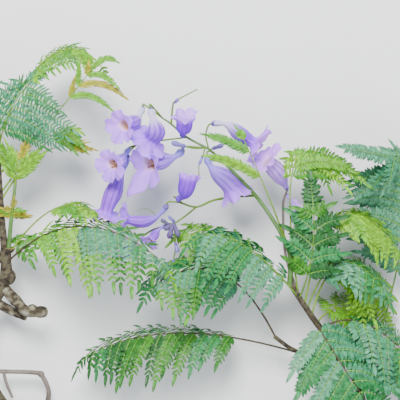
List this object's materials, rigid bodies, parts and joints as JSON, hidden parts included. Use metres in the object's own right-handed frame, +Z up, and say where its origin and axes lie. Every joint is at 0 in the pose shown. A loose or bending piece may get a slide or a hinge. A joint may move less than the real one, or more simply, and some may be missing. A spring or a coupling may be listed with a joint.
{
  "type": "cut flowering jacaranda branch",
  "caption": "Cut branch of a flowering jacaranda with ferny twice-divided leaves, a panicle of violet trumpet flowers and old pruned wood, laid flat.",
  "frame": {"origin": "on the surface the branch lies on, under the middle of its bounding box", "axes": "+X along the bough towards its cut end, +Y up the shoots towards the flowers, +Z up from the surface"},
  "size_m": [0.4494, 0.3334, 0.0988],
  "materials": {
    "bark": "rough grey-brown bark",
    "pale_bark": "weathered pale pruned wood",
    "green_stem": "smooth green stem",
    "petal": "soft violet petal",
    "leaf_mature": "blue-green leaf",
    "leaf_young": "bright yellow-green leaf",
    "leaf_golden": "golden young leaf"
  },
  "bodies": {
    "root": {"bough": "bark", "left_limb": "bark", "pruned_stub_upper": "pale_bark", "pruned_stub_lower": "pale_bark", "left_stem": "bark", "left_shoot": "green_stem", "bare_twig": "bark", "bare_spur": "bark", "right_stem": "bark", "side_shoot": "bark", "bare_stalk": "bark", "flower_stalk": "green_stem", "flower_lateral": "green_stem", "flower_01": "petal", "flower_02": "petal", "flower_03": "petal", "flower_04": "petal", "flower_05": "petal", "flower_06": "petal", "flower_07": "petal", "flower_08": "petal", "flower_09": "petal", "flower_10": "petal", "flower_11": "petal", "flower_12": "petal", "flower_13": "petal", "flower_14": "petal", "leaf_left_arch": "leaf_young", "leaf_left_golden": "leaf_golden", "leaf_left_fan": "leaf_mature", "leaf_left_tips": "leaf_young", "leaf_left_spike": "leaf_golden", "leaf_left_erect": "leaf_young", "leaf_left_tuft": "leaf_golden", "leaf_left_young": "leaf_young", "leaf_left_long": "leaf_mature", "leaf_left_small": "leaf_mature", "leaf_back_high": "leaf_mature", "leaf_back_middle": "leaf_mature", "leaf_back_low": "leaf_young", "leaf_right_front": "leaf_mature", "leaf_middle_front": "leaf_mature", "leaf_middle_left": "leaf_mature", "leaf_low_left": "leaf_mature", "leaf_before_flowers": "leaf_young", "leaf_right_arch": "leaf_young", "leaf_right_blue": "leaf_mature", "leaf_right_high": "leaf_young", "leaf_right_middle": "leaf_mature", "leaf_right_low": "leaf_mature", "leaf_behind_bright": "leaf_young", "leaf_behind_low": "leaf_young", "leaf_behind_left": "leaf_young", "leaf_right_edge": "leaf_mature", "leaf_right_foot": "leaf_mature"}
  },
  "joints": []
}
